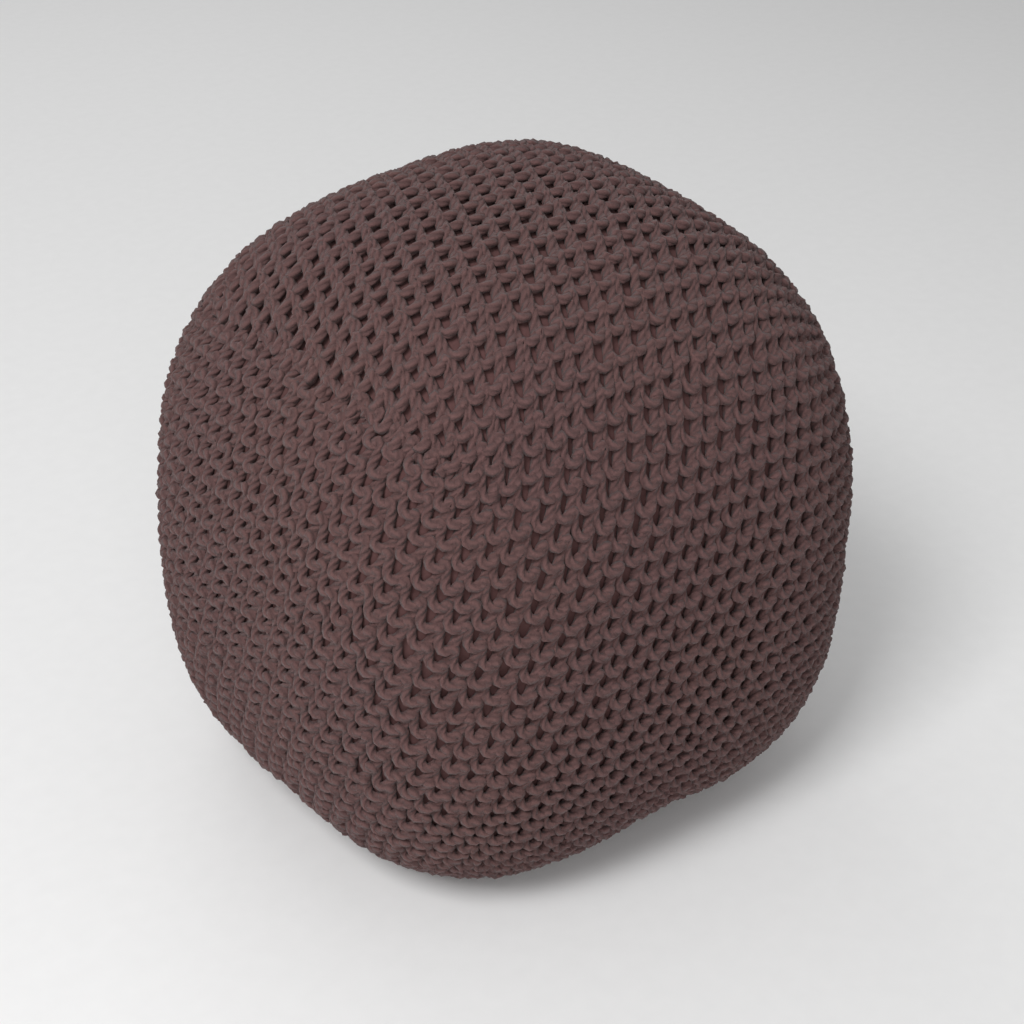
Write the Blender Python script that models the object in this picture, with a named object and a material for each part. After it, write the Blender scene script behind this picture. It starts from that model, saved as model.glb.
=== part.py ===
"""Knitted cube pouf: one filled cover of chunky knit, a soft cube settled on its own base.

The cover is a cube drawn round by its filling. Every face is crowned, the edges and corners are
soft, the sides draw in below the widest level, and the weight of the filling has pressed the
underside flat. The corners aren't alike: each is pulled out or drawn in a little, as the knit
stretches over the filling.

Units are metres, +Z is up, and the sides face X and Y. The origin is on the flat base, under the
middle of the cover's width and depth.
"""

import math

import bmesh
import bpy
from mathutils import Vector

# Driving sizes.
HALF_WIDTH = 0.2226  # along X, at the widest level
HALF_DEPTH = 0.2176  # along Y, at the widest level
WIDEST_LEVEL = 0.2018  # height of the widest level over the base
CROWN_RISE = 0.2480  # from the widest level to the top of the crown
UNDERSIDE_DROP = 0.2324  # how deep the underside would hang if nothing pressed on it
BASE_ROLL = 0.0132  # height over which the pressed base rolls up into the sides

# Fullness: 2 is a plain round, larger numbers are squarer.
PLAN_FULLNESS = 3.2
UPPER_FULLNESS = 2.5
LOWER_FULLNESS = 3.0

# Which way each corner lies, and the share of its distance from the middle that it is pulled out.
CORNER_PULLS = (
    # x side, y side, z side, pull
    (-1, -1, +1, -0.018),
    (+1, -1, +1, -0.030),
    (+1, +1, +1, +0.084),
    (-1, +1, +1, -0.084),
    (-1, -1, -1, -0.073),
    (+1, -1, -1, +0.013),
    (+1, +1, -1, -0.007),
    (-1, +1, -1, +0.054),
)

FACES_ALONG_EDGE = 18  # mesh faces from one edge of the cube to the other

YARN_BROWN = (0.084, 0.055, 0.053, 1.0)
YARN_ROUGHNESS = 0.9


def clear_scene():
    """Remove whatever the scene holds."""
    for old in list(bpy.data.objects):
        bpy.data.objects.remove(old, do_unlink=True)


def yarn_material():
    """The matt brown of the cotton yarn."""
    material = bpy.data.materials.new("brown_yarn")
    material.use_nodes = True
    shader = material.node_tree.nodes["Principled BSDF"]
    shader.inputs["Base Color"].default_value = YARN_BROWN
    shader.inputs["Roughness"].default_value = YARN_ROUGHNESS
    shader.inputs["Metallic"].default_value = 0.0
    return material


def rounded(u, v, fullness):
    """Length of (u, v) in the rounded-square measure that the fullness gives."""
    return (abs(u) ** fullness + abs(v) ** fullness) ** (1.0 / fullness)


def corner_pull(x, y, z):
    """Scale of a point on the unit form, from the pulls of the corners near it."""
    pull = 0.0
    for side_x, side_y, side_z, share in CORNER_PULLS:
        nearness = (1.0 + side_x * x) * (1.0 + side_y * y) * (1.0 + side_z * z) / 8.0
        pull += nearness * share
    return 1.0 + pull


def settled(height):
    """Height over the base once the base is pressed flat, with a roll where it meets the sides."""
    blend = max(BASE_ROLL - abs(height), 0.0) / BASE_ROLL
    return max(height, 0.0) + blend * blend * BASE_ROLL / 4.0


def cover_point(x, y, z):
    """Where a point of a unit cube lies on the cover."""
    x, y, z = (math.tan(value * math.pi / 4.0) for value in (x, y, z))
    fullness = UPPER_FULLNESS if z > 0.0 else LOWER_FULLNESS
    reach = rounded(rounded(x, y, PLAN_FULLNESS), z, fullness)
    x, y, z = x / reach, y / reach, z / reach
    pull = corner_pull(x, y, z)
    rise = CROWN_RISE if z > 0.0 else UNDERSIDE_DROP
    height = WIDEST_LEVEL + z * pull * rise
    return x * pull * HALF_WIDTH, y * pull * HALF_DEPTH, settled(height)


def centre_over_origin(shape):
    """Slide the cover level until the middle of its width and depth is over the origin."""
    across = [vertex.co.x for vertex in shape.verts]
    along = [vertex.co.y for vertex in shape.verts]
    middle = Vector(((min(across) + max(across)) / 2.0, (min(along) + max(along)) / 2.0, 0.0))
    bmesh.ops.translate(shape, vec=-middle, verts=shape.verts[:])


def build_cover():
    """The filled cover, one closed soft cube."""
    shape = bmesh.new()
    bmesh.ops.create_cube(shape, size=2.0)
    cuts = FACES_ALONG_EDGE - 1
    bmesh.ops.subdivide_edges(shape, edges=shape.edges[:], cuts=cuts, use_grid_fill=True)
    for vertex in shape.verts:
        vertex.co = cover_point(*vertex.co)
    bmesh.ops.recalc_face_normals(shape, faces=shape.faces[:])
    centre_over_origin(shape)
    mesh = bpy.data.meshes.new("knitted_cover")
    shape.to_mesh(mesh)
    shape.free()
    mesh.shade_smooth()
    mesh.materials.append(yarn_material())
    cover = bpy.data.objects.new("knitted_cover", mesh)
    bpy.context.scene.collection.objects.link(cover)
    return cover


def main():
    clear_scene()
    build_cover()


main()
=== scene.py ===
"""Looks of the knitted cube pouf.

A soft filling is blown up inside the space of the cover, and rows of thick yarn are knitted over
it as real loops: closed rounds about the four sides, and straight rows on the top and the base.
"""

import logging
import math
from collections.abc import Mapping, Sequence
from dataclasses import dataclass, field
from enum import Enum
from typing import Any

import bmesh
import bpy
import numpy as np
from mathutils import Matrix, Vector
from mathutils.bvhtree import BVHTree
from mathutils.noise import noise_vector


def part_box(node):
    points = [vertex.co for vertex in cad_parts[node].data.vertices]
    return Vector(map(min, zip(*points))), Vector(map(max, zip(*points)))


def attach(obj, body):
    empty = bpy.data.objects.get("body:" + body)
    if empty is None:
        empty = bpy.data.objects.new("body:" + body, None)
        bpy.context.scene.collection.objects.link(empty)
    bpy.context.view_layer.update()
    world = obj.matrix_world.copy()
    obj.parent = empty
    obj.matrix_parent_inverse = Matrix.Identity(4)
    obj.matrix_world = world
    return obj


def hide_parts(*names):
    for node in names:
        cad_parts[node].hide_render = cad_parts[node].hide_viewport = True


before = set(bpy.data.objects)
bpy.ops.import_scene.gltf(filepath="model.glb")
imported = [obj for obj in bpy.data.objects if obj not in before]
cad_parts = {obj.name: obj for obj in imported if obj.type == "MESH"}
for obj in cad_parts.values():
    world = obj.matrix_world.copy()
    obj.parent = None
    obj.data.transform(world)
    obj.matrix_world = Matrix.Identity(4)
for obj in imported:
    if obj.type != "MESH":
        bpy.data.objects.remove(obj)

LOG = logging.getLogger("pouf")

BODY = "root"
COVER_NODE = "knitted_cover"

UV_LAY = "lay"  # where on the fabric a point of a guide lies
ATTR_RUN = "ply_run"  # metres along the yarn
ATTR_SIDE = "ply_side"  # which way round the yarn a point lies, as cosine and sine
NET_MARGIN = 2  # cells that each panel's net runs on past its edges
SHORTEST = 1e-9  # the least length, in metres, that anything is divided by

Colour = tuple[float, float, float]
Key = tuple[int, int, int]


class LoopFace(Enum):
    """Which parts of each loop stand proud of the fabric."""

    LEGS = -1.0
    HEADS = 1.0


# ---------------------------------------------------------------------------------------------
# Node trees written as expressions
# ---------------------------------------------------------------------------------------------


class Wire:
    """A socket of a node tree. Arithmetic on it adds Math nodes to the tree."""

    def __init__(self, sheet: "NodeSheet", socket: bpy.types.NodeSocket) -> None:
        """Wrap a socket.

        Args:
            sheet: The tree that the socket is in.
            socket: The output socket to wrap.
        """
        self.sheet = sheet
        self.socket = socket

    def maths(self, operation: str, *others: Any) -> "Wire":
        """Add a Math node whose first input is this socket.

        Args:
            operation: The Math node's operation.
            others: Its further inputs, as numbers or wires.

        Returns:
            The node's result.
        """
        return self.sheet.maths(operation, self, *others)

    def __add__(self, other: Any) -> "Wire":
        """This value plus another."""
        return self.maths("ADD", other)

    def __radd__(self, other: Any) -> "Wire":
        """Another value plus this one."""
        return self.sheet.maths("ADD", other, self)

    def __sub__(self, other: Any) -> "Wire":
        """This value less another."""
        return self.maths("SUBTRACT", other)

    def __rsub__(self, other: Any) -> "Wire":
        """Another value less this one."""
        return self.sheet.maths("SUBTRACT", other, self)

    def __mul__(self, other: Any) -> "Wire":
        """This value times another."""
        return self.maths("MULTIPLY", other)

    def __rmul__(self, other: Any) -> "Wire":
        """Another value times this one."""
        return self.sheet.maths("MULTIPLY", other, self)

    def __truediv__(self, other: Any) -> "Wire":
        """This value over another."""
        return self.maths("DIVIDE", other)

    def __rtruediv__(self, other: Any) -> "Wire":
        """Another value over this one."""
        return self.sheet.maths("DIVIDE", other, self)

    def sine(self) -> "Wire":
        """The sine of this value in radians."""
        return self.maths("SINE")

    def cosine(self) -> "Wire":
        """The cosine of this value in radians."""
        return self.maths("COSINE")

    def fraction(self) -> "Wire":
        """What this value has over the whole number below it."""
        return self.maths("FRACT")

    def at_least(self, other: Any) -> "Wire":
        """The larger of this value and another."""
        return self.maths("MAXIMUM", other)

    def parts(self) -> tuple["Wire", "Wire", "Wire"]:
        """The X, Y and Z of this vector."""
        split = self.sheet.add("ShaderNodeSeparateXYZ", {}, {"Vector": self})
        return split["X"], split["Y"], split["Z"]


class Placed:
    """A node that has been added, from which its outputs are taken by name."""

    def __init__(self, sheet: "NodeSheet", node: bpy.types.Node) -> None:
        """Remember the node and its tree.

        Args:
            sheet: The tree that the node is in.
            node: The node.
        """
        self.sheet = sheet
        self.node = node

    def __getitem__(self, name: str) -> Wire:
        """The live output of this name or identifier."""
        return Wire(self.sheet, find_socket(self.node.outputs, name))


def find_socket(sockets: Any, name: str) -> bpy.types.NodeSocket:
    """Find a live socket by its identifier, or else by its name.

    Args:
        sockets: A node's inputs or outputs.
        name: The identifier or name.

    Returns:
        The socket.
    """
    live = [s for s in sockets if s.enabled]
    for match in (lambda s: s.identifier == name, lambda s: s.name == name):
        for socket in live:
            if match(socket):
                return socket
    raise KeyError(f"no live socket {name!r} among {[s.name for s in live]}")


class NodeSheet:
    """A node tree to which nodes are added one call at a time."""

    def __init__(self, tree: bpy.types.NodeTree) -> None:
        """Start writing on a tree.

        Args:
            tree: A shader's or a Geometry Nodes tree.
        """
        self.tree = tree

    def add(self, kind: str, settings: Mapping[str, Any], sockets: Mapping[str, Any]) -> Placed:
        """Add any node.

        Args:
            kind: The node's type.
            settings: Its properties, set before its sockets.
            sockets: A value or a Wire for each input, by identifier or name.

        Returns:
            The node that was added.
        """
        node = self.tree.nodes.new(kind)
        for name, value in settings.items():
            setattr(node, name, value)
        for name, value in sockets.items():
            socket = find_socket(node.inputs, name)
            if isinstance(value, Wire):
                self.tree.links.new(value.socket, socket)
            else:
                socket.default_value = value
        return Placed(self, node)

    def maths(self, operation: str, *values: Any) -> Wire:
        """Add a Math node.

        Args:
            operation: Its operation.
            values: Its inputs in order, as numbers or wires.

        Returns:
            Its result.
        """
        names = ("Value", "Value_001", "Value_002")
        sockets = dict(zip(names, values))
        return self.add("ShaderNodeMath", {"operation": operation}, sockets)["Value"]

    def vector(self, x: Any, y: Any, z: Any) -> Wire:
        """Combine three values into a vector."""
        return self.add("ShaderNodeCombineXYZ", {}, {"X": x, "Y": y, "Z": z})["Vector"]

    def vector_sum(self, first: Wire, second: Wire) -> Wire:
        """Add two vectors."""
        sockets = {"Vector": first, "Vector_001": second}
        return self.add("ShaderNodeVectorMath", {"operation": "ADD"}, sockets)["Vector"]

    def scaled(self, vector: Wire, factor: Any) -> Wire:
        """Multiply a vector by one number."""
        sockets = {"Vector": vector, "Scale": factor}
        return self.add("ShaderNodeVectorMath", {"operation": "SCALE"}, sockets)["Vector"]

    def mixed(self, factor: Any, first: Any, second: Any) -> Wire:
        """Mix two colours.

        Args:
            factor: 0 for the first colour, 1 for the second.
            first: A colour or a Wire.
            second: A colour or a Wire.

        Returns:
            The mixed colour.
        """
        pair = [c if isinstance(c, Wire) else (*c, 1.0) for c in (first, second)]
        sockets = {"Factor_Float": factor, "A_Color": pair[0], "B_Color": pair[1]}
        return self.add("ShaderNodeMix", {"data_type": "RGBA"}, sockets)["Result_Color"]


# ---------------------------------------------------------------------------------------------
# Finishes
# ---------------------------------------------------------------------------------------------


def new_material(name: str) -> tuple[bpy.types.Material, NodeSheet, bpy.types.Node]:
    """Make a material with a Principled shader.

    Args:
        name: The material's name.

    Returns:
        The material, its sheet and its shader node.
    """
    material = bpy.data.materials.new(name)
    material.use_nodes = True
    tree = material.node_tree
    return material, NodeSheet(tree), tree.nodes["Principled BSDF"]


@dataclass(frozen=True)
class YarnFinish:
    """Matt brown cotton yarn, a loose twist of three plies with short fibres on it."""

    name: str = "brown_yarn"
    light: Colour = (0.131, 0.063, 0.062)
    dark: Colour = (0.080, 0.037, 0.037)
    warm: Colour = (0.121, 0.058, 0.047)
    # painted shade: the darker brown laid into the grooves between the plies
    groove_painted_shade: Colour = (0.050, 0.0225, 0.022)
    roughness: float = 0.88
    sheen: float = 0.08
    sheen_roughness: float = 0.5
    plies: int = 3
    turn_length: float = 0.024
    ply_height: float = 0.0012
    fibre_height: float = 0.0005
    ply_roundness: float = 0.6  # below 1 the plies are broad and their grooves narrow
    fibre_scale: float = 900.0
    fibre_detail: float = 3.0
    fibre_tangle: float = 0.6
    fibre_range: tuple[float, float] = (0.32, 0.68)  # noise values of the darkest and lightest fibre
    tint_scale: float = 9.0
    tint_detail: float = 2.0
    warm_share: float = 0.45
    # how strongly the painted shade darkens the grooves between the plies
    groove_painted_shade_share: float = 0.55

    def build(self) -> bpy.types.Material:
        """Build the material.

        Returns:
            The yarn's material.
        """
        material, sheet, shader = new_material(self.name)
        place = sheet.add("ShaderNodeTexCoord", {}, {})["Object"]
        ply = self._ply(sheet)
        fibre = self._fibre(sheet, place)
        shader.inputs["Roughness"].default_value = self.roughness
        shader.inputs["Sheen Weight"].default_value = self.sheen
        shader.inputs["Sheen Roughness"].default_value = self.sheen_roughness
        colour = self._colour(sheet, place, ply, fibre)
        sheet.tree.links.new(colour.socket, shader.inputs["Base Color"])
        plied = sheet.add(
            "ShaderNodeBump", {}, {"Height": ply, "Distance": self.ply_height, "Strength": 1.0}
        )["Normal"]
        felted = sheet.add(
            "ShaderNodeBump",
            {},
            {"Height": fibre, "Distance": self.fibre_height, "Strength": 1.0, "Normal": plied},
        )["Normal"]
        sheet.tree.links.new(felted.socket, shader.inputs["Normal"])
        return material

    def _ply(self, sheet: NodeSheet) -> Wire:
        """How high the twisted plies stand at a point of the yarn, for their bump and for the
        painted shade in their grooves.

        Args:
            sheet: The material's tree.

        Returns:
            0 low between the plies and 1 on a ply.
        """
        run = sheet.add("ShaderNodeAttribute", {"attribute_name": ATTR_RUN}, {})["Fac"]
        side = sheet.add("ShaderNodeAttribute", {"attribute_name": ATTR_SIDE}, {})["Vector"]
        across, up, _ = side.parts()
        angle = up.maths("ARCTAN2", across)
        wave = (angle * self.plies - run * (math.tau * self.plies / self.turn_length)).cosine()
        return (wave * 0.5 + 0.5).maths("POWER", self.ply_roundness)

    def _fibre(self, sheet: NodeSheet, place: Wire) -> Wire:
        """Short tangled fibres.

        Args:
            sheet: The material's tree.
            place: Where on the yarn.

        Returns:
            A value about a half.
        """
        sockets = {
            "Vector": place,
            "Scale": self.fibre_scale,
            "Detail": self.fibre_detail,
            "Distortion": self.fibre_tangle,
        }
        return sheet.add("ShaderNodeTexNoise", {}, sockets)["Fac"]

    def _colour(self, sheet: NodeSheet, place: Wire, ply: Wire, fibre: Wire) -> Wire:
        """The yarn's colour: browns by fibre and by place, with painted shade darkening the twist's
        grooves.

        Args:
            sheet: The material's tree.
            place: Where on the yarn.
            ply: How high the plies stand; where they are low, painted shade is laid in.
            fibre: The fibres' value.

        Returns:
            The colour.
        """
        drift = {"Vector": place, "Scale": self.tint_scale, "Detail": self.tint_detail}
        broad = sheet.add("ShaderNodeTexNoise", {}, drift)["Fac"]
        darkest, lightest = self.fibre_range
        spread = sheet.add(
            "ShaderNodeMapRange", {}, {"Value": fibre, "From Min": darkest, "From Max": lightest}
        )["Result"]
        heather = sheet.mixed(spread, self.dark, self.light)
        tinted = sheet.mixed(broad * self.warm_share, heather, self.warm)
        # painted shade: the grooves between the plies are darkened in the colour
        return sheet.mixed((1.0 - ply) * self.groove_painted_shade_share, tinted, self.groove_painted_shade)


@dataclass(frozen=True)
class FillingFinish:
    """The dark cloth of the filling, which shows only through the holes of the knit."""

    name: str = "filling_cloth"
    thread: Colour = (0.115, 0.050, 0.048)
    # painted shade between the weave's threads, laid where the weave's bump is low
    gap_painted_shade: Colour = (0.075, 0.033, 0.031)
    weave_scale: float = 500.0
    weave_detail: float = 2.0
    roughness: float = 0.95
    weave_height: float = 0.0002

    def build(self) -> bpy.types.Material:
        """Build the material.

        Returns:
            The filling cloth's material.
        """
        material, sheet, shader = new_material(self.name)
        place = sheet.add("ShaderNodeTexCoord", {}, {})["Object"]
        sockets = {"Vector": place, "Scale": self.weave_scale, "Detail": self.weave_detail}
        weave = sheet.add("ShaderNodeTexNoise", {}, sockets)["Fac"]
        # darker where the weave's bump is low: painted shade between the threads
        colour = sheet.mixed(weave, self.gap_painted_shade, self.thread)
        shader.inputs["Roughness"].default_value = self.roughness
        sheet.tree.links.new(colour.socket, shader.inputs["Base Color"])
        raised = sheet.add("ShaderNodeBump", {}, {"Height": weave, "Distance": self.weave_height})
        sheet.tree.links.new(raised["Normal"].socket, shader.inputs["Normal"])
        return material


@dataclass(frozen=True)
class FloorFinish:
    """A plain pale floor with hardly any texture."""

    name: str = "pale_floor"
    pale: Colour = (0.86, 0.86, 0.86)
    shade: Colour = (0.82, 0.82, 0.82)
    grain_scale: float = 60.0
    grain_detail: float = 3.0
    roughness: float = 0.8

    def build(self) -> bpy.types.Material:
        """Build the material.

        Returns:
            The floor's material.
        """
        material, sheet, shader = new_material(self.name)
        place = sheet.add("ShaderNodeTexCoord", {}, {})["Object"]
        sockets = {"Vector": place, "Scale": self.grain_scale, "Detail": self.grain_detail}
        grain = sheet.add("ShaderNodeTexNoise", {}, sockets)["Fac"]
        colour = sheet.mixed(grain, self.shade, self.pale)
        shader.inputs["Roughness"].default_value = self.roughness
        sheet.tree.links.new(colour.socket, shader.inputs["Base Color"])
        return material


# ---------------------------------------------------------------------------------------------
# Meshes
# ---------------------------------------------------------------------------------------------


def new_object(name: str, mesh: bpy.types.Mesh) -> bpy.types.Object:
    """Put a mesh in the scene.

    Args:
        name: The object's name.
        mesh: Its mesh.

    Returns:
        The object, at the origin.
    """
    made = bpy.data.objects.new(name, mesh)
    bpy.context.scene.collection.objects.link(made)
    return made


def as_plain_mesh(source: bpy.types.Object, name: str) -> bpy.types.Mesh:
    """Copy what an object shows, with its modifiers carried out, to a plain mesh.

    Args:
        source: The object to read.
        name: The new mesh's name.

    Returns:
        The mesh.
    """
    graph = bpy.context.evaluated_depsgraph_get()
    seen = source.evaluated_get(graph)
    mesh = bpy.data.meshes.new_from_object(seen, preserve_all_data_layers=True, depsgraph=graph)
    mesh.name = name
    return mesh


def points_of(mesh: bpy.types.Mesh) -> np.ndarray:
    """Read a mesh's points.

    Args:
        mesh: The mesh to read.

    Returns:
        An array with a row for each point.
    """
    flat = np.empty(len(mesh.vertices) * 3)
    mesh.vertices.foreach_get("co", flat)
    return flat.reshape(-1, 3)


def set_points(mesh: bpy.types.Mesh, points: np.ndarray) -> None:
    """Move the mesh's points.

    Args:
        mesh: The mesh to change.
        points: The new place of each point, a row for each.
    """
    mesh.vertices.foreach_set("co", points.ravel())
    mesh.update()


@dataclass
class Filling:
    """The soft filling under the knit: the cover's own form, drawn in and blown up again.

    Once it is built, `middle` is a point inside it from which all of its skin is seen, and `tree`
    finds the skin.
    """

    skin: bpy.types.Material
    knit_depth: float = 0.0085  # from the outside of the knit down to the filling
    drawn_in: float = 0.0035  # how far inside its place the cloth starts
    swell: float = 0.0040  # how far the pressure may move any point
    spare_cloth: float = 0.02  # by what share the cloth is cut larger than it starts
    cell: float = 0.011  # size of the cloth's mesh before it is smoothed
    lump_height: float = 0.0016
    lump_size: float = 0.085
    pressure: float = 8.0
    cloth_quality: int = 6
    frames: int = 20
    fill: float = 0.8
    weld: float = 1e-5  # points of the solid closer than this are one
    widest_share: float = 0.451  # height of the widest level, as a share of the whole
    middle: Vector = field(init=False)
    tree: BVHTree = field(init=False)

    def build(self) -> bpy.types.Object:
        """Make the filling, settle it, and dress it.

        Returns:
            The finished piece.
        """
        piece = new_object("filling", self._drawn_in_cover())
        self._blow_up(piece)
        self._press_flat(piece.data)
        piece.data.materials.clear()
        piece.data.materials.append(self.skin)
        piece.data.shade_smooth()
        smooth = piece.modifiers.new("smooth", "SUBSURF")
        smooth.levels = 1
        smooth.render_levels = 1
        piece.data = as_plain_mesh(piece, "filling")
        piece.modifiers.clear()
        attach(piece, BODY)
        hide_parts(COVER_NODE)
        low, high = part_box(COVER_NODE)
        self.middle = Vector((0.0, 0.0, low[2] + self.widest_share * (high[2] - low[2])))
        self.tree = BVHTree.FromPolygons(
            [v.co.copy() for v in piece.data.vertices],
            [tuple(p.vertices) for p in piece.data.polygons],
        )
        return piece

    def _drawn_in_cover(self) -> bpy.types.Mesh:
        """The cover's solid, drawn in along its normals and meshed evenly.

        Returns:
            The mesh that the pressure starts from.
        """
        shape = bmesh.new()
        shape.from_mesh(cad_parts[COVER_NODE].data)
        bmesh.ops.remove_doubles(shape, verts=shape.verts[:], dist=self.weld)
        mesh = bpy.data.meshes.new("drawn_in")
        shape.to_mesh(mesh)
        shape.free()
        start = new_object("drawn_in", mesh)
        even = start.modifiers.new("even", "REMESH")
        even.mode = "VOXEL"
        even.voxel_size = self.cell
        meshed = as_plain_mesh(start, "filling")
        bpy.data.objects.remove(start)
        depth = self.knit_depth + self.drawn_in
        normals = np.array([v.normal[:] for v in meshed.vertices])
        points = points_of(meshed)
        lumps = np.array([noise_vector(Vector(p) / self.lump_size)[0] for p in points])
        inset = depth - lumps * self.lump_height
        set_points(meshed, points - normals * inset[:, None])
        return meshed

    def _blow_up(self, piece: bpy.types.Object) -> None:
        """Let air pressure swell the cloth, and stop each point at the swell.

        Args:
            piece: The filling, whose mesh is replaced by the settled one.
        """
        before = points_of(piece.data)
        cloth = piece.modifiers.new("cloth", "CLOTH")
        cloth.settings.use_pressure = True
        cloth.settings.uniform_pressure_force = self.pressure
        cloth.settings.effector_weights.gravity = 0.0
        cloth.settings.shrink_min = -self.spare_cloth
        cloth.settings.quality = self.cloth_quality
        cloth.point_cache.frame_start = 1
        cloth.point_cache.frame_end = self.frames
        for number in range(1, self.frames + 1):
            bpy.context.scene.frame_set(number)
        settled = as_plain_mesh(piece, "filling")
        piece.modifiers.clear()
        moved = points_of(settled) - before
        length = np.linalg.norm(moved, axis=1, keepdims=True)
        cap = np.minimum(1.0, self.swell / np.maximum(length, SHORTEST))
        set_points(piece.data, before + moved * cap)
        bpy.context.scene.frame_set(1)

    def _press_flat(self, mesh: bpy.types.Mesh) -> None:
        """Keep the base of the filling as far over the floor as the knit is deep.

        Args:
            mesh: The filling's mesh, which is changed.
        """
        points = points_of(mesh)
        points[:, 2] = np.maximum(points[:, 2], self.knit_depth)
        set_points(mesh, points)

    def point(self, direction: Vector) -> Vector:
        """Where the filling's skin lies.

        Args:
            direction: Which way to look from the middle.

        Returns:
            The point of the skin.
        """
        hit, _, _, _ = self.tree.ray_cast(self.middle, direction.normalized())
        return hit


@dataclass
class StretchedNet:
    """A net drawn over the whole filling, its knots evenly apart as in stretched cloth.

    The knots are named by their places on a cube of whole numbers, so that the six sides join.
    """

    filling: Filling
    cells: int = 20  # from one edge of the cube to the next
    loose_rounds: int = 150
    close_rounds: int = 40
    pull: float = 1.0  # how far a knot gives way to its threads in one round
    slack_length: float = 0.7  # a thread's own length, as a share of the mean thread's
    knots: np.ndarray = field(init=False)
    index: dict[Key, int] = field(init=False)

    def __post_init__(self) -> None:
        """Draw the net over the filling, first in wide cells and then in narrow ones."""
        wide = self.cells // 2
        keys = self._keys(wide)
        knots = self._seated([self._outward(key, wide) for key in keys])
        knots = self._evened(keys, knots, self.loose_rounds)
        finer = self._keys(self.cells)
        knots = self._halved(keys, knots, finer)
        self.knots = self._evened(finer, knots, self.close_rounds)
        self.index = {key: number for number, key in enumerate(finer)}

    @staticmethod
    def _keys(cells: int) -> list[Key]:
        """Name the knots on the surface of a cube.

        Args:
            cells: How many cells there are along an edge of it.

        Returns:
            The names, each a place on the cube.
        """
        steps = range(cells + 1)
        return [
            (x, y, z)
            for x in steps
            for y in steps
            for z in steps
            if any(place in (0, cells) for place in (x, y, z))
        ]

    def _outward(self, key: Key, cells: int) -> Vector:
        """A point out from the middle towards a knot, spaced evenly by angle."""
        turned = [math.tan((2.0 * place / cells - 1.0) * math.pi / 4.0) for place in key]
        return self.filling.middle + Vector(turned)

    def _seated(self, points: Sequence[Sequence[float]]) -> np.ndarray:
        """Bring points onto the filling, along the lines from its middle."""
        middle = self.filling.middle
        return np.array([self.filling.point(Vector(p) - middle)[:] for p in points])

    def _evened(self, keys: list[Key], knots: np.ndarray, rounds: int) -> np.ndarray:
        """Let the net's threads pull until they are about the same length.

        Args:
            keys: The knots' names.
            knots: Where they start.
            rounds: How many times to pull and seat them.

        Returns:
            Where they come to rest.
        """
        first, second = self._threads(keys)
        ends = np.bincount(first, minlength=len(keys)) + np.bincount(second, minlength=len(keys))
        for _ in range(rounds):
            across = knots[second] - knots[first]
            length = np.linalg.norm(across, axis=1, keepdims=True)
            tug = across * (1.0 - self.slack_length * length.mean() / length)
            shift = np.zeros_like(knots)
            np.add.at(shift, first, tug)
            np.add.at(shift, second, -tug)
            knots = self._seated(knots + shift * (self.pull / ends)[:, None])
        return knots

    @staticmethod
    def _threads(keys: list[Key]) -> tuple[np.ndarray, np.ndarray]:
        """Find the threads that lie along the surface of the cube.

        Args:
            keys: The knots' names.

        Returns:
            The numbers of the knots at the first and at the second end of each.
        """
        index = {key: number for number, key in enumerate(keys)}
        cells = max(max(key) for key in keys)
        pairs = []
        for key, number in index.items():
            for axis in range(3):
                on_surface = any(key[b] in (0, cells) for b in range(3) if b != axis)
                after = tuple(place + (b == axis) for b, place in enumerate(key))
                if on_surface and after in index:
                    pairs.append((number, index[after]))
        both = np.array(pairs)
        return both[:, 0], both[:, 1]

    def _halved(self, keys: list[Key], knots: np.ndarray, finer: list[Key]) -> np.ndarray:
        """Place the knots of a net of half-sized cells between those of a wider one.

        Args:
            keys: The wider net's names.
            knots: Its knots.
            finer: The names of the new net.

        Returns:
            The new net's knots, seated on the filling.
        """
        index = {key: number for number, key in enumerate(keys)}
        placed = []
        for key in finer:
            sides = [sorted({place // 2, (place + 1) // 2}) for place in key]
            near = [index[(x, y, z)] for x in sides[0] for y in sides[1] for z in sides[2]]
            placed.append(knots[near].mean(axis=0))
        return self._seated(placed)

    def sides(self, rounds: int, stitches: Sequence[int], crowding: float) -> np.ndarray:
        """The rounds about the four sides, from the base's edge up to the top's.

        Args:
            rounds: How many rounds lie between the two edges.
            stitches: How many stitches lie on each side, from the side that faces -X on.
            crowding: How much closer than the mean the lowest rounds lie.

        Returns:
            Points by round, by stitch from the far left edge, with the margin's rounds.
        """
        n = self.cells
        steps = range(n + 1)
        paths = (
            [(0, n - k) for k in steps],
            [(k, 0) for k in steps],
            [(n, k) for k in steps],
            [(n - k, n) for k in steps],
        )
        columns = []
        for path, count in zip(paths, stitches):
            side = [[self.knots[self.index[x, y, z]] for z in steps] for x, y in path]
            columns.extend(self._spaced(np.array(side), count)[:-1])
        around = np.array(columns).swapaxes(0, 1)
        return self._run_on(self._spaced(around, rounds, crowding))

    def end(self, level: int, rows: int, stitches: int) -> np.ndarray:
        """The rows of the top or the base, along X, seen from outside.

        Args:
            level: The number of cells up to it.
            rows: How many rows cross it.
            stitches: How many stitches are in a row.

        Returns:
            Points by row and by stitch, with the margin all round.
        """
        n = self.cells
        steps = range(n + 1)
        depths = steps if level else reversed(steps)
        knots = [[self.knots[self.index[x, y, level]] for x in steps] for y in depths]
        columns = self._run_on(self._spaced(np.array(knots), rows)).swapaxes(0, 1)
        return self._run_on(self._spaced(columns, stitches)).swapaxes(0, 1)

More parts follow.
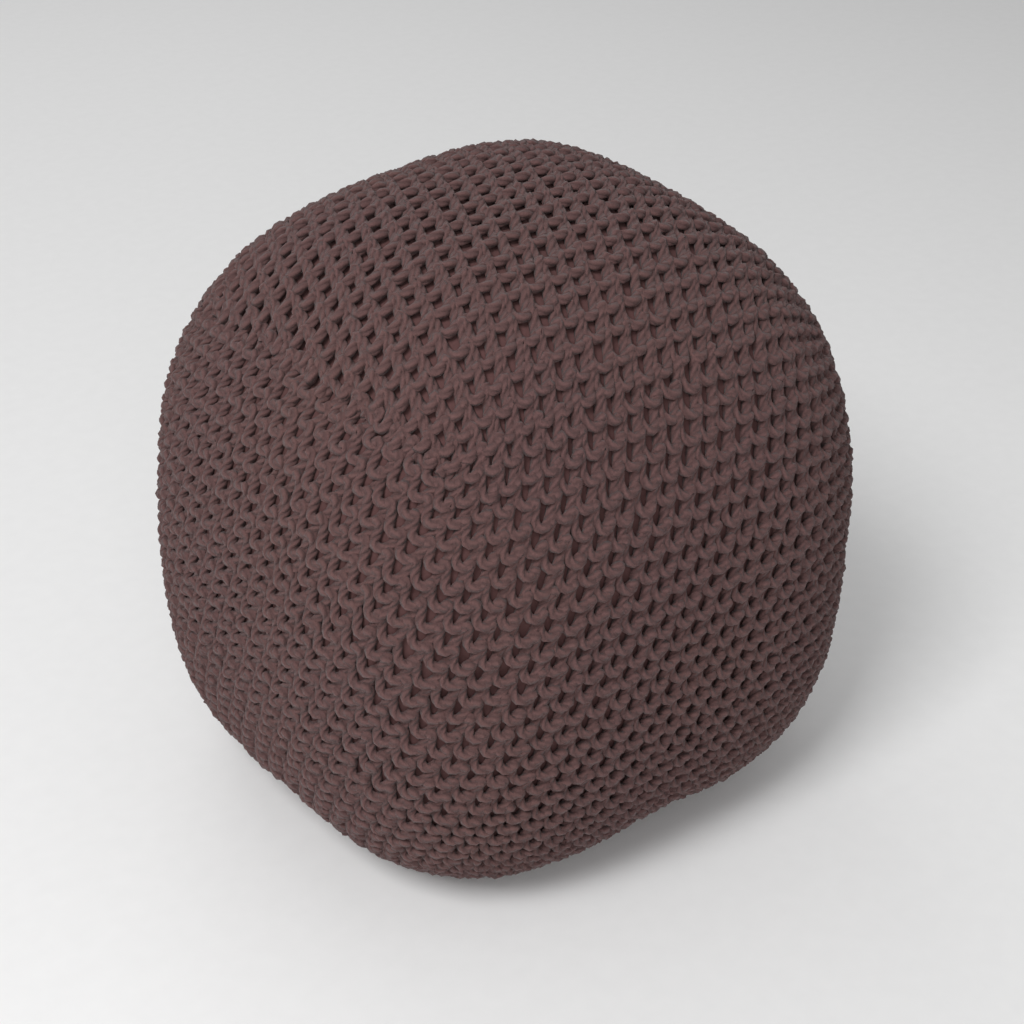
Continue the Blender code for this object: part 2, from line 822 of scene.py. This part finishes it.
    def _spaced(self, rows: np.ndarray, count: int, crowding: float = 0.0) -> np.ndarray:
        """Cut a panel's net into another number of rows.

        Args:
            rows: The rows as they are.
            count: How many cells there are to be.
            crowding: How much closer than the mean the first rows lie.

        Returns:
            The new rows, seated on the filling.
        """
        share = np.linspace(0.0, 1.0, count + 1)
        steps = (share - crowding * share * (1.0 - share)) * (len(rows) - 1)
        low = np.minimum(steps.astype(int), len(rows) - 2)
        part = (steps - low)[:, None, None]
        mixed = rows[low] * (1.0 - part) + rows[low + 1] * part
        return np.array([self._seated(row) for row in mixed])

    def _run_on(self, grid: np.ndarray) -> np.ndarray:
        """Lead a panel's net on past its first and last rows.

        Args:
            grid: The net.

        Returns:
            The net with its margin before and after.
        """
        before = [2.0 * grid[0] - grid[k] for k in range(NET_MARGIN, 0, -1)]
        after = [2.0 * grid[-1] - grid[-1 - k] for k in range(1, NET_MARGIN + 1)]
        return np.concatenate(
            [
                np.array([self._seated(row) for row in before]),
                grid,
                np.array([self._seated(row) for row in after]),
            ]
        )


@dataclass
class YarnLoops:
    """The Geometry Nodes tree that knits rows of yarn over a guide."""

    name: str = "knit_rows"
    coarse_drift: float = 45.0  # scale of the noise that moves whole stitches
    fine_drift: float = 110.0  # scale of the noise that moves parts of a stitch
    fine_offset: float = 7.0  # keeps the two noises apart
    seed_step: float = 3.7  # how far apart the noises of two seeds lie
    rise_drift: float = 3.0  # how much more the yarn's height drifts than its place

    def tree(self) -> bpy.types.NodeTree:
        """Build the tree, or return it if it is there.

        Returns:
            The tree.
        """
        made = bpy.data.node_groups.get(self.name)
        return made or self._write()

    def _write(self) -> bpy.types.NodeTree:
        """Write the tree's sockets and nodes.

        Returns:
            The tree.
        """
        tree = bpy.data.node_groups.new(self.name, "GeometryNodeTree")
        kinds = {
            "Geometry": ("Guide",),
            "Int": ("Stitches", "Rows", "First Row", "Points per Stitch", "Yarn Sides", "Seed"),
            "Bool": ("Closed",),
            "Float": (
                *("Overlap", "Side Margin", "Row Margin", "Swing", "Gather", "Reach", "Relief"),
                *("Height", "Lean", "Tilt", "Yarn Radius", "Slack", "Floor"),
            ),
            "Material": ("Yarn",),
        }
        for kind, labels in kinds.items():
            for label in labels:
                tree.interface.new_socket(label, in_out="INPUT", socket_type="NodeSocket" + kind)
        tree.interface.new_socket("Knit", in_out="OUTPUT", socket_type="NodeSocketGeometry")
        sheet = NodeSheet(tree)
        given = sheet.add("NodeGroupInput", {}, {})
        rows = self._straight_rows(sheet, given)
        looped = self._looped_rows(sheet, given, rows)
        knit = self._as_yarn(sheet, given, looped)
        sheet.add("NodeGroupOutput", {}, {"Knit": knit})
        return tree

    def _straight_rows(self, sheet: NodeSheet, given: Placed) -> Wire:
        """Lay one straight strand for each row, at Y = 0, 1, 2 and so on.

        Args:
            sheet: The tree.
            given: The group's inputs.

        Returns:
            The strands.
        """
        open_end = 1.0 - given["Closed"]
        stitches = given["Stitches"] + given["Overlap"] * 2.0
        count = stitches * given["Points per Stitch"] + open_end
        line = sheet.add("GeometryNodeCurvePrimitiveLine", {}, {"End": (1.0, 0.0, 0.0)})
        strand = sheet.add(
            "GeometryNodeResampleCurve", {"mode": "COUNT"}, {"Curve": line["Curve"], "Count": count}
        )
        places = sheet.add(
            "GeometryNodeMeshLine",
            {"mode": "OFFSET"},
            {"Count": given["Rows"], "Offset": (0.0, 1.0, 0.0)},
        )
        laid = sheet.add(
            "GeometryNodeInstanceOnPoints",
            {},
            {"Points": places["Mesh"], "Instance": strand["Curve"]},
        )
        real = sheet.add("GeometryNodeRealizeInstances", {}, {"Geometry": laid["Instances"]})
        return sheet.add(
            "GeometryNodeSetSplineCyclic",
            {},
            {"Geometry": real["Geometry"], "Cyclic": given["Closed"]},
        )["Geometry"]

    def _looped_rows(self, sheet: NodeSheet, given: Placed, rows: Wire) -> Wire:
        """Bend the strands into loops and lay them over the guide.

        Args:
            sheet: The tree.
            given: The group's inputs.
            rows: The straight strands.

        Returns:
            The looped strands.
        """
        index = sheet.add("GeometryNodeSplineParameter", {}, {})["Index"]
        _, row, _ = sheet.add("GeometryNodeInputPosition", {}, {})["Position"].parts()
        along = index / given["Points per Stitch"] - given["Overlap"]
        turn = (along - (row + given["First Row"]) * given["Lean"]) * math.tau
        base = self._on_guide(sheet, given, along, row + 0.5)
        coarse = self._wander(sheet, given, base, self.coarse_drift, 0.0)
        fine = self._wander(sheet, given, base, self.fine_drift, self.fine_offset)
        drift_x, drift_y, drift_z = sheet.vector_sum(coarse, fine).parts()
        reach = turn.cosine() * given["Reach"]
        sway = (turn * 2.0).sine() * given["Swing"] - turn.sine() * given["Gather"]
        swung = along + sway + reach * given["Tilt"] + drift_x * given["Slack"]
        reached = row + 0.5 + reach + drift_y * given["Slack"]
        rise = (turn * 2.0).cosine() + drift_z * given["Slack"] * self.rise_drift
        height = given["Height"] + rise * given["Relief"]
        seat = self._on_guide(sheet, given, swung, reached)
        normal_field = sheet.add("GeometryNodeInputNormal", {}, {})["Normal"]
        normal = self._on_guide(sheet, given, swung, reached, normal_field)
        place = sheet.vector_sum(seat, sheet.scaled(normal, height))
        return sheet.add(
            "GeometryNodeSetPosition", {}, {"Geometry": rows, "Position": place}
        )["Geometry"]

    def _on_guide(
        self, sheet: NodeSheet, given: Placed, stitch: Wire, row: Wire, value: Wire | None = None
    ) -> Wire:
        """Read the guide at a stitch and row.

        Args:
            sheet: The tree.
            given: The group's inputs.
            stitch: How many stitches along the row.
            row: How many rows up.
            value: What to read there, or None for the place.

        Returns:
            The value read from the guide.
        """
        width = given["Stitches"] + given["Side Margin"] * 2.0
        height = given["Rows"] + given["Row Margin"] * 2.0
        across = ((stitch + given["Side Margin"]) / width).fraction()
        up = (row + given["Row Margin"]) / height
        lay = sheet.add(
            "GeometryNodeInputNamedAttribute", {"data_type": "FLOAT_VECTOR"}, {"Name": UV_LAY}
        )["Attribute"]
        read = value or sheet.add("GeometryNodeInputPosition", {}, {})["Position"]
        return sheet.add(
            "GeometryNodeSampleUVSurface",
            {"data_type": "FLOAT_VECTOR"},
            {
                "Mesh": given["Guide"],
                "Value": read,
                "Source UV Map": lay,
                "Sample UV": sheet.vector(across, up, 0.0),
            },
        )["Value"]

    def _wander(
        self, sheet: NodeSheet, given: Placed, place: Wire, scale: float, offset: float
    ) -> Wire:
        """Drift about zero that varies smoothly from place to place.

        Args:
            sheet: The tree.
            given: The group's inputs, of which the seed is read.
            place: Where the noise is read.
            scale: The noise's scale.
            offset: How far the noise is moved.

        Returns:
            The drift, as a vector.
        """
        shift = given["Seed"] * self.seed_step + offset
        moved = sheet.vector_sum(place, sheet.vector(shift, shift, shift))
        noise = sheet.add(
            "ShaderNodeTexNoise", {}, {"Vector": moved, "Scale": scale, "Detail": 0.0}
        )["Color"]
        return sheet.vector_sum(noise, sheet.vector(-0.5, -0.5, -0.5))

    def _as_yarn(self, sheet: NodeSheet, given: Placed, looped: Wire) -> Wire:
        """Make round yarn of the strands, with its twist and its material.

        Args:
            sheet: The tree.
            given: The group's inputs.
            looped: The looped strands.

        Returns:
            The knit.
        """
        run = sheet.add("GeometryNodeSplineParameter", {}, {})["Length"]
        marked = sheet.add(
            "GeometryNodeStoreNamedAttribute",
            {"data_type": "FLOAT", "domain": "POINT"},
            {"Geometry": looped, "Name": ATTR_RUN, "Value": run},
        )["Geometry"]
        circle = sheet.add(
            "GeometryNodeCurvePrimitiveCircle",
            {"mode": "RADIUS"},
            {"Resolution": given["Yarn Sides"], "Radius": 1.0},
        )["Curve"]
        place = sheet.add("GeometryNodeInputPosition", {}, {})["Position"]
        profile = sheet.add(
            "GeometryNodeStoreNamedAttribute",
            {"data_type": "FLOAT_VECTOR", "domain": "POINT"},
            {"Geometry": circle, "Name": ATTR_SIDE, "Value": place},
        )["Geometry"]
        tube = sheet.add(
            "GeometryNodeCurveToMesh",
            {},
            {
                "Curve": marked,
                "Profile Curve": profile,
                "Scale": given["Yarn Radius"],
                "Fill Caps": True,
            },
        )["Mesh"]
        x, y, z = sheet.add("GeometryNodeInputPosition", {}, {})["Position"].parts()
        rested = sheet.add(
            "GeometryNodeSetPosition",
            {},
            {"Geometry": tube, "Position": sheet.vector(x, y, z.at_least(given["Floor"]))},
        )["Geometry"]
        smooth = sheet.add("GeometryNodeSetShadeSmooth", {}, {"Geometry": rested})["Geometry"]
        real = sheet.add("GeometryNodeRealizeInstances", {}, {"Geometry": smooth})["Geometry"]
        return sheet.add(
            "GeometryNodeSetMaterial", {}, {"Geometry": real, "Material": given["Yarn"]}
        )["Geometry"]


@dataclass
class KnitGauge:
    """The sizes of the stitch, the same all over the cover but for the slant of its loops."""

    narrow_stitches: int = 20  # round each of the sides that face along X
    wide_stitches: int = 23  # round each of the sides that face along Y, and along a row
    rounds: int = 27  # from the base's edge to the top's
    rows: int = 23  # across the top, and across the base
    crowding: float = 0.14  # how much closer than the mean the lowest rounds lie
    swing: float = 0.05  # how far a loop bulges sideways, in stitches
    gather: float = 0.14  # how far its two legs are drawn together, in stitches
    reach: float = 0.62  # how far a loop reaches up and down, in rows
    relief: float = 0.0020
    yarn_radius: float = 0.0034
    height: float = 0.0036  # of the yarn's middle over the filling
    lean: float = 0.38  # how far each row is set on from the one below, in stitches
    side_tilt: float = 0.2  # how far the loops of the sides slant, in stitches a row
    end_tilt: float = 0.38  # the same on the top and the base
    slack: float = 0.28
    overlap: float = 0.5  # how far the straight rows run over the sides, in stitches
    points_per_stitch: int = 14
    yarn_sides: int = 7
    face: LoopFace = LoopFace.HEADS
    floor: float = 0.0004


@dataclass
class KnitPanel:
    """One knitted piece of the cover, made as loops of yarn over a guide."""

    name: str
    gauge: KnitGauge
    filling: Filling
    yarn: bpy.types.Material
    net: np.ndarray  # a point for each row and stitch, with the margin
    closed: bool
    first_row: int = 0
    seed: int = 0
    fineness: int = 2  # cells of the guide to each cell of the net

    def build(self) -> bpy.types.Object:
        """Knit the panel and fasten it to the pouf.

        Returns:
            The finished piece.
        """
        guide = new_object(self.name + "_guide", self._guide_mesh())
        rows = guide.modifiers.new("rows", "NODES")
        rows.node_group = YarnLoops().tree()
        self._set_inputs(rows)
        piece = new_object(self.name, as_plain_mesh(guide, self.name))
        bpy.data.objects.remove(guide)
        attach(piece, BODY)
        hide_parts(COVER_NODE)
        return piece

    def _set_inputs(self, rows: bpy.types.NodesModifier) -> None:
        """Give the tree's named inputs this panel's values.

        Args:
            rows: The modifier that holds the tree.
        """
        gauge = self.gauge
        tall, wide = self.net.shape[:2]
        values = {
            "Stitches": wide if self.closed else wide - 1 - 2 * NET_MARGIN,
            "Rows": tall - 1 - 2 * NET_MARGIN,
            "First Row": self.first_row,
            "Points per Stitch": gauge.points_per_stitch,
            "Closed": self.closed,
            "Overlap": 0.0 if self.closed else gauge.overlap,
            "Side Margin": 0.0 if self.closed else float(NET_MARGIN),
            "Row Margin": float(NET_MARGIN),
            "Swing": gauge.swing,
            "Gather": gauge.gather,
            "Reach": gauge.reach,
            "Relief": gauge.relief * gauge.face.value,
            "Height": gauge.height,
            "Lean": gauge.lean,
            "Tilt": gauge.side_tilt if self.closed else gauge.end_tilt,
            "Yarn Radius": gauge.yarn_radius,
            "Yarn Sides": gauge.yarn_sides,
            "Slack": gauge.slack,
            "Seed": self.seed,
            "Floor": gauge.floor,
            "Yarn": self.yarn,
        }
        for item in rows.node_group.interface.items_tree:
            if item.name in values:
                rows[item.identifier] = values[item.name]

    def _guide_mesh(self) -> bpy.types.Mesh:
        """A mesh on the filling's skin whose UV map says where each stitch goes.

        Returns:
            The guide.
        """
        fine = self._refined()
        tall, wide = fine.shape[0] - 1, fine.shape[1] - (0 if self.closed else 1)
        shape = bmesh.new()
        lay = shape.loops.layers.uv.new(UV_LAY)
        grid = [[shape.verts.new(point) for point in row] for row in fine]
        for j in range(tall):
            for i in range(wide):
                across = (i + 1) % len(grid[j])
                corners = (grid[j][i], grid[j][across], grid[j + 1][across], grid[j + 1][i])
                face = shape.faces.new(corners)
                face.smooth = True
                places = ((i, j), (i + 1, j), (i + 1, j + 1), (i, j + 1))
                for loop, (a, b) in zip(face.loops, places):
                    loop[lay].uv = (a / wide, b / tall)
        mesh = bpy.data.meshes.new(self.name + "_guide")
        shape.to_mesh(mesh)
        shape.free()
        return mesh

    def _refined(self) -> np.ndarray:
        """Put further points between the net's own, all on the filling's skin.

        Returns:
            The refined net.
        """
        grid = self._between(self.net)
        columns = grid.swapaxes(0, 1)
        if self.closed:
            columns = np.concatenate([columns, columns[:1]])
        columns = self._between(columns)
        if self.closed:
            columns = columns[:-1]
        grid = columns.swapaxes(0, 1)
        middle = self.filling.middle
        seated = [[self.filling.point(Vector(p) - middle)[:] for p in row] for row in grid]
        return np.array(seated)

    def _between(self, rows: np.ndarray) -> np.ndarray:
        """Put further rows evenly between rows.

        Args:
            rows: The rows as they are.

        Returns:
            The old and new rows in order.
        """
        steps = np.arange((len(rows) - 1) * self.fineness + 1) / self.fineness
        low = np.minimum(steps.astype(int), len(rows) - 2)
        share = (steps - low)[:, None, None]
        return rows[low] * (1.0 - share) + rows[low + 1] * share


@dataclass
class KnitCover:
    """The whole cover: bands of rounds about the sides, the top and the base."""

    gauge: KnitGauge
    filling: Filling
    yarn: bpy.types.Material
    bands: tuple[str, ...] = ("low_rounds", "middle_rounds", "high_rounds")

    def build(self) -> list[bpy.types.Object]:
        """Knit every panel.

        Returns:
            The finished pieces.
        """
        gauge = self.gauge
        net = StretchedNet(self.filling)
        round_stitches = (gauge.narrow_stitches, gauge.wide_stitches) * 2
        sides = net.sides(gauge.rounds, round_stitches, gauge.crowding)
        beyond = 2 * NET_MARGIN + 1
        cuts = [round(gauge.rounds * k / len(self.bands)) for k in range(len(self.bands) + 1)]
        panels = [
            self._panel(name, sides[low : high + beyond], closed=True, first_row=low)
            for name, low, high in zip(self.bands, cuts, cuts[1:])
        ]
        top = net.end(net.cells, gauge.rows, gauge.wide_stitches)
        base = net.end(0, gauge.rows, gauge.wide_stitches)
        panels += [self._panel("top_rows", top, seed=1), self._panel("base_rows", base, seed=2)]
        return [panel.build() for panel in panels]

    def _panel(self, name: str, net: np.ndarray, **places: Any) -> KnitPanel:
        """A panel of this cover.

        Args:
            name: The panel's name.
            net: Its part of the net.
            places: How its rows lie, as KnitPanel's own fields.

        Returns:
            The panel, not built yet.
        """
        lie = {"closed": False, **places}
        return KnitPanel(name, self.gauge, self.filling, self.yarn, net, **lie)


# ---------------------------------------------------------------------------------------------
# The studio
# ---------------------------------------------------------------------------------------------


@dataclass(frozen=True)
class Lamp:
    """A square soft light that looks at the pouf."""

    name: str
    place: tuple[float, float, float]
    size: float  # length of a side
    power: float  # in watts


@dataclass
class Studio:
    """A pale floor, soft lights and the camera at the photograph's angle."""

    floor_material: bpy.types.Material
    lamps: tuple[Lamp, ...] = (
        Lamp("key", (-1.9, -0.8, 2.6), 1.1, 63.0),
        Lamp("front", (-1.5, -2.2, 1.6), 1.4, 20.0),
        Lamp("back", (0.4, 2.4, 2.2), 2.0, 15.0),
    )
    daylight: float = 0.38
    azimuth: float = -36.7  # degrees about Z, 0 looks along +Y
    elevation: float = 31.4
    distance: float = 1.236
    lens: float = 60.5
    sensor: float = 36.0
    target: tuple[float, float, float] = (-0.0049, -0.0044, 0.2018)
    frame_shift: float = 0.0141
    floor_size: float = 12.0
    floor_cells: int = 8

    def build(self) -> None:
        """Make the floor, the lights, the world and the camera."""
        self._floor()
        for lamp in self.lamps:
            self._hang(lamp)
        self._world()
        self._camera()

    def _floor(self) -> None:
        """Lay the floor just under the base."""
        shape = bmesh.new()
        cells = self.floor_cells
        bmesh.ops.create_grid(shape, x_segments=cells, y_segments=cells, size=self.floor_size / 2.0)
        mesh = bpy.data.meshes.new("floor")
        shape.to_mesh(mesh)
        shape.free()
        mesh.materials.append(self.floor_material)
        new_object("floor", mesh)

    def _hang(self, lamp: Lamp) -> None:
        """Hang a lamp and aim it.

        Args:
            lamp: The lamp to hang.
        """
        light = bpy.data.lights.new(lamp.name, "AREA")
        light.shape = "SQUARE"
        light.size = lamp.size
        light.energy = lamp.power
        hung = bpy.data.objects.new(lamp.name, light)
        hung.location = lamp.place
        aim = Vector(self.target) - Vector(lamp.place)
        hung.rotation_euler = aim.to_track_quat("-Z", "Y").to_euler()
        bpy.context.scene.collection.objects.link(hung)

    def _world(self) -> None:
        """Light everything evenly from all round."""
        world = bpy.data.worlds.new("studio")
        world.use_nodes = True
        background = world.node_tree.nodes["Background"]
        background.inputs["Color"].default_value = (1.0, 1.0, 1.0, 1.0)
        background.inputs["Strength"].default_value = self.daylight
        bpy.context.scene.world = world

    def _camera(self) -> None:
        """Set the camera where the photograph was taken from."""
        turn, lift = math.radians(self.azimuth), math.radians(self.elevation)
        away = Vector(
            (math.sin(turn) * math.cos(lift), -math.cos(turn) * math.cos(lift), math.sin(lift))
        )
        view = bpy.data.cameras.new("camera")
        view.lens = self.lens
        view.sensor_width = self.sensor
        view.sensor_fit = "HORIZONTAL"
        view.shift_x = self.frame_shift
        camera = bpy.data.objects.new("camera", view)
        camera.location = Vector(self.target) + away * self.distance
        camera.rotation_euler = (-away).to_track_quat("-Z", "Y").to_euler()
        bpy.context.scene.collection.objects.link(camera)
        bpy.context.scene.camera = camera


def report(piece: bpy.types.Object) -> None:
    """Log a piece's name, size and number of triangles.

    Args:
        piece: The finished piece.
    """
    mesh = piece.data
    triangles = sum(len(p.vertices) - 2 for p in mesh.polygons)
    size = tuple(round(d, 3) for d in piece.dimensions)
    LOG.info("%s: %d triangles, %s", piece.name, triangles, size)


def main() -> None:
    """Build the pouf and its studio, in order."""
    logging.basicConfig(level=logging.INFO, format="%(name)s %(message)s")
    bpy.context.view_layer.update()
    filling = Filling(FillingFinish().build())
    report(filling.build())
    cover = KnitCover(KnitGauge(), filling, YarnFinish().build())
    for piece in cover.build():
        report(piece)
    Studio(FloorFinish().build()).build()
    bpy.context.scene.view_settings.view_transform = "Standard"
    bpy.context.view_layer.update()


if __name__ == "__main__":
    main()
